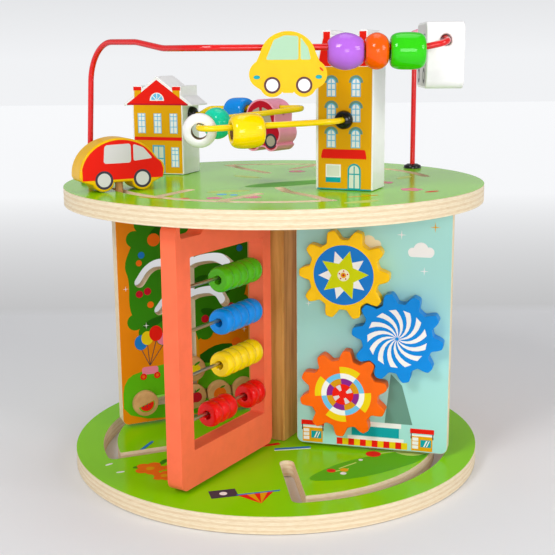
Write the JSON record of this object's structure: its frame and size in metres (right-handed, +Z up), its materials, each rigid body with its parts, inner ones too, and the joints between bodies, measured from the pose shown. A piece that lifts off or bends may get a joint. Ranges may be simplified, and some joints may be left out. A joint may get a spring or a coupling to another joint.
{
  "type": "activity centre",
  "caption": "Round wooden activity centre with revolving panels for gears, abacus and tree slots between two plywood boards, and beads and cars on bent wires on top.",
  "frame": {"origin": "middle of the base board's underside", "axes": "+Z up along the centre post; -Y towards the front, where the gears and the abacus are seen"},
  "size_m": [0.3, 0.3, 0.3136],
  "materials": {
    "green_print": "green printed and lacquered face on birch plywood",
    "ply_print_blue": "pale blue printed face on birch plywood",
    "ply_print_orange": "orange printed face on birch plywood",
    "pine": "bare pine",
    "birch": "bare birch",
    "coral_paint": "satin coral paint on solid wood",
    "steel": "bare drawn rod",
    "red_lacquer": "glossy lacquer on beech",
    "yellow_lacquer": "glossy lacquer on beech",
    "orange_lacquer": "glossy lacquer on beech",
    "blue_lacquer": "glossy lacquer on beech",
    "sky_lacquer": "glossy lacquer on beech",
    "green_lacquer": "glossy lacquer on beech",
    "teal_lacquer": "glossy lacquer on beech",
    "purple_lacquer": "glossy lacquer on beech",
    "pink_lacquer": "glossy lacquer on beech",
    "white_lacquer": "glossy lacquer on beech",
    "red_wire": "glossy powder coat on steel wire",
    "yellow_wire": "glossy powder coat on steel wire",
    "black_plastic": "moulded cap",
    "mustard_print": "printed faces on a white block"
  },
  "bodies": {
    "stand": {"base_disc": "green_print", "top_disc": "green_print", "centre_post": "pine", "abacus_lower_pin": "steel", "abacus_upper_pin": "steel", "back_panel_lower_pin": "steel", "back_panel_upper_pin": "steel", "gear_panel_lower_pin": "steel", "gear_panel_upper_pin": "steel", "tree_panel_lower_pin": "steel", "tree_panel_upper_pin": "steel", "tower_block": "mustard_print", "house_block": "mustard_print", "red_wire": "red_wire", "yellow_wire": "yellow_wire", "left_wire_foot": "black_plastic", "right_wire_foot": "black_plastic", "tower_wire_plug": "black_plastic", "house_wire_plug": "black_plastic"},
    "gear_panel": {"gear_panel": "ply_print_blue"},
    "blue_gear": {"blue_gear": "blue_lacquer", "blue_gear_axle": "birch"},
    "yellow_gear": {"yellow_gear": "yellow_lacquer", "yellow_gear_axle": "birch"},
    "orange_gear": {"orange_gear": "orange_lacquer", "orange_gear_axle": "birch"},
    "abacus": {"abacus_frame": "coral_paint", "red_row_rod": "steel", "yellow_row_rod": "steel", "blue_row_rod": "steel", "green_row_rod": "steel"},
    "red_bead_pair": {"red_bead_pair": "red_lacquer"},
    "red_bead_triple": {"red_bead_triple": "red_lacquer"},
    "yellow_bead_pair": {"yellow_bead_pair": "yellow_lacquer"},
    "yellow_bead_triple": {"yellow_bead_triple": "yellow_lacquer"},
    "blue_bead_pair": {"blue_bead_pair": "sky_lacquer"},
    "blue_bead_triple": {"blue_bead_triple": "sky_lacquer"},
    "green_bead_pair": {"green_bead_pair": "green_lacquer"},
    "green_bead_triple": {"green_bead_triple": "green_lacquer"},
    "tree_panel": {"tree_panel": "ply_print_orange"},
    "melon_token": {"melon_token": "birch"},
    "lemon_token": {"lemon_token": "birch"},
    "apple_token": {"apple_token": "birch"},
    "orange_token": {"orange_token": "birch"},
    "cherry_token": {"cherry_token": "birch"},
    "back_panel": {"back_panel": "ply_print_blue"},
    "car_peg": {"car_peg": "birch"},
    "deck_car": {"deck_car": "yellow_lacquer"},
    "yellow_car": {"yellow_car": "yellow_lacquer"},
    "purple_bead": {"purple_bead": "purple_lacquer"},
    "orange_bead": {"orange_bead": "orange_lacquer"},
    "green_bead": {"green_bead": "green_lacquer"},
    "white_block": {"white_block": "white_lacquer"},
    "pink_bead": {"pink_bead": "pink_lacquer"},
    "yellow_bead": {"yellow_bead": "yellow_lacquer"},
    "white_bead": {"white_bead": "white_lacquer"},
    "teal_bead": {"teal_bead": "teal_lacquer"},
    "pink_car": {"pink_car": "pink_lacquer"},
    "blue_bead": {"blue_bead": "sky_lacquer"}
  },
  "joints": [
    {"name": "gear_panel_turn", "type": "hinge", "parent": "stand", "child": "gear_panel", "pos_m": [0.06975, -0.03709, 0.1025], "axis": [0, 0, 1], "continuous": true},
    {"name": "blue_gear_spin", "type": "hinge", "parent": "gear_panel", "child": "blue_gear", "pos_m": [0.08566, -0.05284, 0.1007], "axis": [-0.2639, -0.9646, 0], "continuous": true},
    {"name": "yellow_gear_spin", "type": "hinge", "parent": "gear_panel", "child": "yellow_gear", "pos_m": [0.04901, -0.04282, 0.14399], "axis": [-0.2639, -0.9646, 0], "continuous": true},
    {"name": "orange_gear_spin", "type": "hinge", "parent": "gear_panel", "child": "orange_gear", "pos_m": [0.04901, -0.04282, 0.05741], "axis": [-0.2639, -0.9646, 0], "continuous": true},
    {"name": "abacus_turn", "type": "hinge", "parent": "stand", "child": "abacus", "pos_m": [-0.03709, -0.06975, 0.1025], "axis": [0, 0, 1], "continuous": true},
    {"name": "red_pair_slide", "type": "slide", "parent": "abacus", "child": "red_bead_pair", "axis": [-0.5314, -0.8471, 0], "range_m": [0, 0.0092]},
    {"name": "red_triple_slide", "type": "slide", "parent": "abacus", "child": "red_bead_triple", "axis": [-0.5314, -0.8471, 0], "range_m": [-0.0092, 0.022]},
    {"name": "yellow_pair_slide", "type": "slide", "parent": "abacus", "child": "yellow_bead_pair", "axis": [-0.5314, -0.8471, 0], "range_m": [-0.0034, 0]},
    {"name": "yellow_triple_slide", "type": "slide", "parent": "abacus", "child": "yellow_bead_triple", "axis": [-0.5314, -0.8471, 0], "range_m": [0, 0.037]},
    {"name": "blue_pair_slide", "type": "slide", "parent": "abacus", "child": "blue_bead_pair", "axis": [-0.5314, -0.8471, 0], "range_m": [-0.0034, 0]},
    {"name": "blue_triple_slide", "type": "slide", "parent": "abacus", "child": "blue_bead_triple", "axis": [-0.5314, -0.8471, 0], "range_m": [0, 0.037]},
    {"name": "green_pair_slide", "type": "slide", "parent": "abacus", "child": "green_bead_pair", "axis": [-0.5314, -0.8471, 0], "range_m": [-0.0034, 0]},
    {"name": "green_triple_slide", "type": "slide", "parent": "abacus", "child": "green_bead_triple", "axis": [-0.5314, -0.8471, 0], "range_m": [0, 0.037]},
    {"name": "tree_panel_turn", "type": "hinge", "parent": "stand", "child": "tree_panel", "pos_m": [-0.06975, 0.03709, 0.1025], "axis": [0, 0, 1], "continuous": true},
    {"name": "melon_token_slide", "type": "slide", "parent": "tree_panel", "child": "melon_token", "axis": [0.9135, 0.4067, 0], "range_m": [-0.005, 0.0094]},
    {"name": "apple_token_slide", "type": "slide", "parent": "tree_panel", "child": "apple_token", "axis": [0.9135, 0.4067, 0], "range_m": [-0.0094, 0.0005]},
    {"name": "orange_token_slide", "type": "slide", "parent": "tree_panel", "child": "orange_token", "axis": [0.9135, 0.4067, 0], "range_m": [-0.0005, 0.0005]},
    {"name": "cherry_token_slide", "type": "slide", "parent": "tree_panel", "child": "cherry_token", "axis": [0.9135, 0.4067, 0], "range_m": [-0.0005, 0.0003]},
    {"name": "lemon_token_slide", "type": "slide", "parent": "tree_panel", "child": "lemon_token", "axis": [0, 0, 1], "range_m": [0, 0.04]},
    {"name": "back_panel_turn", "type": "hinge", "parent": "stand", "child": "back_panel", "pos_m": [0.03709, 0.06975, 0.1025], "axis": [0, 0, 1], "continuous": true},
    {"name": "car_slot_slide", "type": "hinge", "parent": "stand", "child": "car_peg", "pos_m": [0, 0, 0.199], "axis": [0, 0, 1], "range_deg": [-4, 15]},
    {"name": "deck_car_spin", "type": "hinge", "parent": "car_peg", "child": "deck_car", "pos_m": [-0.10513, -0.04902, 0.199], "axis": [0, 0, 1], "continuous": true},
    {"name": "green_bead_slide", "type": "slide", "parent": "stand", "child": "green_bead", "axis": [-1, 0, 0], "range_m": [-0.0008, 0.0004]},
    {"name": "orange_bead_slide", "type": "slide", "parent": "stand", "child": "orange_bead", "axis": [-1, 0, 0], "range_m": [-0.0004, 0.0004]},
    {"name": "purple_bead_slide", "type": "slide", "parent": "stand", "child": "purple_bead", "axis": [-1, 0, 0], "range_m": [-0.0004, 0.0004]},
    {"name": "yellow_car_slide", "type": "slide", "parent": "stand", "child": "yellow_car", "axis": [-1, 0, 0], "range_m": [-0.0004, 0.008]},
    {"name": "white_block_slide", "type": "slide", "parent": "stand", "child": "white_block", "axis": [0, 1, 0], "range_m": [0, 0.03]},
    {"name": "pink_bead_slide", "type": "slide", "parent": "stand", "child": "pink_bead", "axis": [0, 1, 0], "range_m": [-0.02, 0.005]},
    {"name": "yellow_bead_slide", "type": "slide", "parent": "stand", "child": "yellow_bead", "axis": [0.9586, 0.2832, 0.03], "range_m": [0, 0.025]},
    {"name": "white_bead_slide", "type": "slide", "parent": "stand", "child": "white_bead", "axis": [0, 0.9986, 0.0526], "range_m": [0, 0.006]},
    {"name": "teal_bead_slide", "type": "slide", "parent": "stand", "child": "teal_bead", "axis": [0.7889, 0.6101, 0.0735], "range_m": [0, 0.006]},
    {"name": "pink_car_slide", "type": "slide", "parent": "stand", "child": "pink_car", "axis": [-0.7968, 0.6036, -0.0271], "range_m": [-0.004, 0.001]},
    {"name": "blue_bead_slide", "type": "slide", "parent": "stand", "child": "blue_bead", "axis": [-0.7968, 0.6036, -0.0271], "range_m": [-0.001, 0.01]}
  ],
  "couplings": [
    {"joint": "yellow_gear_spin", "follows": "blue_gear_spin", "ratio": -1},
    {"joint": "orange_gear_spin", "follows": "blue_gear_spin", "ratio": -1}
  ]
}
